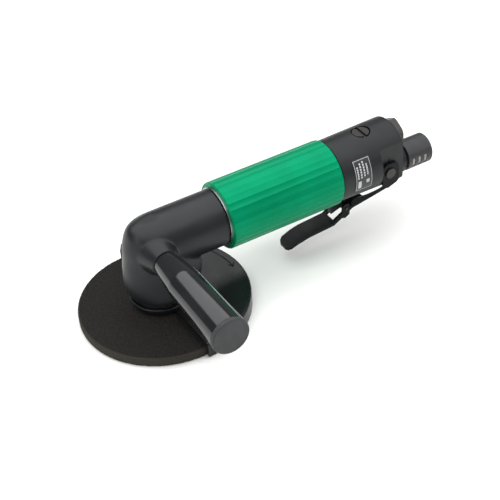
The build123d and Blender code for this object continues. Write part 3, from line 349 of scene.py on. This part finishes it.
def wheel_section(rim, hub_top):
    """Closed run of (radius, height): out along the working face, up the rim and back over the top."""
    bore, flange_r, hub_r, dish_r, hub_low = 11.115, 16.0, 21.5, 28.0, 4.5
    slope_r = (hub_r + dish_r) / 2
    face_radii = range(30, 62)
    bevel = ((0.6, 0.0), (0.15, 0.2))
    rim_low, rim_step, rim_points = 0.8, 0.6, 10
    section = [(bore, hub_low), (flange_r, hub_low), (hub_r, hub_low), (slope_r, hub_low / 2), (dish_r, 0.0)]
    section += [(float(r), 0.0) for r in face_radii]
    section += [(rim - inset, height) for inset, height in bevel]
    section += [(rim, rim_low + rim_step * i) for i in range(rim_points)]
    section += [(rim - inset, WHEEL_THICK - height) for inset, height in reversed(bevel)]
    section += [(float(r), WHEEL_THICK) for r in reversed(face_radii)]
    section += [(dish_r, WHEEL_THICK), (slope_r, (WHEEL_THICK + hub_top) / 2)]
    return section + [(hub_r, hub_top), (flange_r, hub_top), (bore, hub_top)]


def worn_point(r, z, turn, rim):
    """A point of the wheel's surface, set in by its wear: deeper at the rim, none in the hub."""
    hub_reach, coarse, fine, rim_depth, face_depth, skin = 30.0, 1.1, 2.7, 0.55, 0.22, 0.3
    at_rim = r > rim - RIM_BAND
    rim_light_and_wear = 0.0
    if r > hub_reach:
        at = Vector((r * cos(turn), r * sin(turn), z))
        grit = noise.noise(at * coarse) * 0.5 + noise.noise(at * fine) * 0.5
        rim_light_and_wear = max(0.0, grit) * (rim_depth if at_rim else face_depth)
    lift = -rim_light_and_wear if z > WHEEL_THICK - skin else rim_light_and_wear if z < skin else 0.0
    inner = r - rim_light_and_wear if at_rim else r
    return (inner * cos(turn), inner * sin(turn), z + lift)


def worn_wheel():
    """The wheel with a slightly broken rim and a pitted face, never proud of the CAD wheel."""
    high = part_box("grinding_wheel")[1]
    rim, around = high[0] / MM, 720
    section = wheel_section(rim, high[2] / MM)
    count = len(section)
    vertices = [worn_point(r, z, 2 * pi * i / around, rim) for i in range(around) for r, z in section]
    faces = []
    for i in range(around):
        here, after = i * count, (i + 1) % around * count
        for j in range(count):
            k = (j + 1) % count
            faces.append((here + j, after + j, after + k, here + k))
    disc = piece("worn_wheel", vertices, faces, "spindle", FINISHES["abrasive"], smooth=True)
    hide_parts("grinding_wheel")


def ribbon(name, line, half, z0, z1, body, material):
    """A flat strip along a line of (x, y) points in a level plane."""
    vertices, faces = [], []
    for i, (x, y) in enumerate(line):
        ahead, behind = line[min(i + 1, len(line) - 1)], line[max(i - 1, 0)]
        along = Vector((ahead[0] - behind[0], ahead[1] - behind[1])).normalized()
        side = (-along[1] * half, along[0] * half)
        for z in (z0, z1):
            vertices += [(x + side[0], y + side[1], z), (x - side[0], y - side[1], z)]
    for i in range(len(line) - 1):
        a, b = 4 * i, 4 * i + 4
        faces += [(a, a + 1, b + 1, b), (a + 3, a + 2, b + 2, b + 3), (a + 1, a + 3, b + 3, b + 1),
                  (a + 2, a, b, b + 2)]
    last = 4 * (len(line) - 1)
    faces += [(0, 2, 3, 1), (last, last + 1, last + 3, last + 2)]
    return piece(name, vertices, faces, body, material)


def guard_arrow():
    """Paint in the guard's engraved arrow."""
    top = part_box("wheel_guard")[1][2] / MM
    radius, first, last, steps, half, barb, spread = 59.5, -2.0, 26.0, 40, 0.5, 4.4, 32
    z0, z1 = top - 0.34, top - 0.2
    turns = [radians(first + (last - first) * i / steps) for i in range(steps + 1)]
    arc = [(radius * cos(turn), radius * sin(turn)) for turn in turns]
    ribbon("arrow_shaft", arc, half, z0, z1, "guard", GROOVE_PAINT)
    for index, lean in enumerate((-spread, spread)):
        heading = radians(first + lean + 90)
        end = (arc[0][0] + barb * cos(heading), arc[0][1] + barb * sin(heading))
        ribbon(f"arrow_barb_{index}", [arc[0], end], half, z0, z1, "guard", GROOVE_PAINT)


def spring_that_shortens():
    """The valve's spring, copied from the CAD model and fixed to the housing."""
    coil = copy_of("valve_spring", "valve_return_coil")
    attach(coil, "housing")
    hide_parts("valve_spring")
    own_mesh(coil)


def ink_patch(name, x0, x1, from_turn, to_turn):
    """A raised patch of print on the label, from x0 to x1 and between two turns from the top, in degrees."""
    # the label's outer face is a shallow cone: its radius at start_x, and how that grows along the housing
    front_r, slope, start_x = 24.62, 0.9 / 55.8, 146.2
    raised, finest = 0.04, 1.5
    steps = max(2, int(abs(to_turn - from_turn) / finest))
    vertices, faces = [], []
    for i in range(steps + 1):
        turn = radians(from_turn + (to_turn - from_turn) * i / steps)
        for x in (x0, x1):
            r = front_r + slope * (x - start_x)
            for lift in (0.0, raised):
                vertices.append((x, -(r + lift) * sin(turn), BODY_Z + (r + lift) * cos(turn)))
    for i in range(steps):
        a, b = 4 * i, 4 * i + 4
        faces += [(a + 1, a + 3, b + 3, b + 1), (a, b, b + 2, a + 2), (a, a + 1, b + 1, b),
                  (a + 2, b + 2, b + 3, a + 3)]
    last = 4 * steps
    faces += [(0, 2, 3, 1), (last, last + 1, last + 3, last + 2)]
    piece(name, vertices, faces, "housing", INK)


def label_print():
    """Plain bars and a thin frame on the label, in place of any writing."""
    low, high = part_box("label_plate")
    x_low, x_high = low[0] / MM, high[0] / MM
    edge, inset, turn_edge, top_turn, end_turn = 0.32, 0.5, 0.75, 51.0, 110.0
    ink_patch("label_frame_front", x_low + inset, x_low + inset + edge, top_turn, end_turn)
    ink_patch("label_frame_rear", x_high - inset - edge, x_high - inset, top_turn, end_turn)
    ink_patch("label_frame_top", x_low + inset, x_high - inset, top_turn, top_turn + turn_edge)
    ink_patch("label_frame_end", x_low + inset, x_high - inset, end_turn - turn_edge, end_turn)
    # each row: how far behind the label's front edge, and the turns it runs between
    rows = ((2.0, 62.0, 86.0), (4.7, 57.0, 86.0), (7.4, 55.0, 84.0), (10.1, 61.0, 82.0))
    bars, bar_width, inked = 6, 1.15, 0.72
    for row, (offset, row_from, row_to) in enumerate(rows):
        step = (row_to - row_from) / bars
        for bar in range(bars):
            begin = row_from + bar * step
            ink_patch(f"label_bar_{row}_{bar}", x_low + offset, x_low + offset + bar_width,
                      begin, begin + step * inked)
    # each block: its name, where it starts and ends behind the front edge, and the turn it ends at
    block_from, blocks = 90.0, (("a", 2.1, 4.9, 105.0), ("b", 9.2, 11.8, 97.0))
    for letter, start, end, block_to in blocks:
        ink_patch(f"label_block_{letter}", x_low + start, x_low + end, block_from, block_to)


blended_head()
worn_wheel()
spring_that_shortens()
guard_arrow()
label_print()


# ---- floor, camera and lights ----
FLOOR_DROP = 0.6 * MM


def floor():
    """A wide sheet of pale paper, just under the wheel."""
    mesh = bpy.data.meshes.new("studio_floor")
    half = 4.0
    corners = [(-half, -half, 0), (half, -half, 0), (half, half, 0), (-half, half, 0)]
    mesh.from_pydata(corners, [], [(0, 1, 2, 3)])
    ground = bpy.data.objects.new("studio_floor", mesh)
    ground.location.z = -FLOOR_DROP
    bpy.context.scene.collection.objects.link(ground)
    paper = Nodes("floor_paper")
    mesh.materials.append(paper.finish(
        Base__Color=rgba(0.96, 0.955, 0.935), Roughness=0.7,
        Normal=paper.bump(paper.noise(300.0, 2.0), 0.0001, 0.2)))


def camera():
    """The viewpoint, from the front left and above, rolled a little."""
    azimuth, elevation, roll = radians(-27.94), radians(38.96), radians(-4.35)
    back = Vector((sin(azimuth) * cos(elevation), -cos(azimuth) * cos(elevation), sin(elevation)))
    right = Vector((cos(azimuth), sin(azimuth), 0))
    up = back.cross(right)
    place = Vector((-0.2798, -0.6706, 0.6331))
    x_axis = cos(roll) * right + sin(roll) * up
    y_axis = -sin(roll) * right + cos(roll) * up
    data = bpy.data.cameras.new("camera")
    data.lens, data.sensor_width = 93.6, 36.0
    data.clip_start, data.clip_end = 0.05, 20.0
    view = bpy.data.objects.new("camera", data)
    bpy.context.scene.collection.objects.link(view)
    turn = Matrix((x_axis, y_axis, back)).transposed().to_4x4()
    view.matrix_world = Matrix.Translation(place) @ turn
    bpy.context.scene.camera = view


def softbox(name, place, target, size, power):
    """A rectangular light at a place, facing a target."""
    data = bpy.data.lights.new(name, "AREA")
    data.shape, data.size, data.size_y, data.energy = "RECTANGLE", size[0], size[1], power
    lamp = bpy.data.objects.new(name, data)
    bpy.context.scene.collection.objects.link(lamp)
    lamp.location = place
    lamp.rotation_mode = "QUATERNION"
    lamp.rotation_quaternion = (Vector(target) - Vector(place)).to_track_quat("-Z", "Y")


def studio():
    """A dim room with broad soft boxes: they light the floor white, and dark gloss shows their edges."""
    tool = (0.07, 0, 0.03)
    world = bpy.data.worlds.new("studio")
    bpy.context.scene.world = world
    world.use_nodes = True
    world.node_tree.nodes["Background"].inputs["Color"].default_value = rgba(0.95, 0.97, 1.0)
    world.node_tree.nodes["Background"].inputs["Strength"].default_value = 0.27
    # level and overhead: the handle's parallel part mirrors it, and its tapered part does not
    softbox("overhead", (0.0, 0.25, 1.25), (0.0, 0.251, 0.0), (2.4, 2.46), 44.0)
    softbox("left", (-1.1, -0.35, 0.55), tool, (0.35, 0.7), 2.4)
    softbox("right", (1.0, -0.8, 0.6), tool, (0.6, 0.5), 3.0)
    bpy.context.scene.view_settings.view_transform = "Standard"


floor()
camera()
studio()
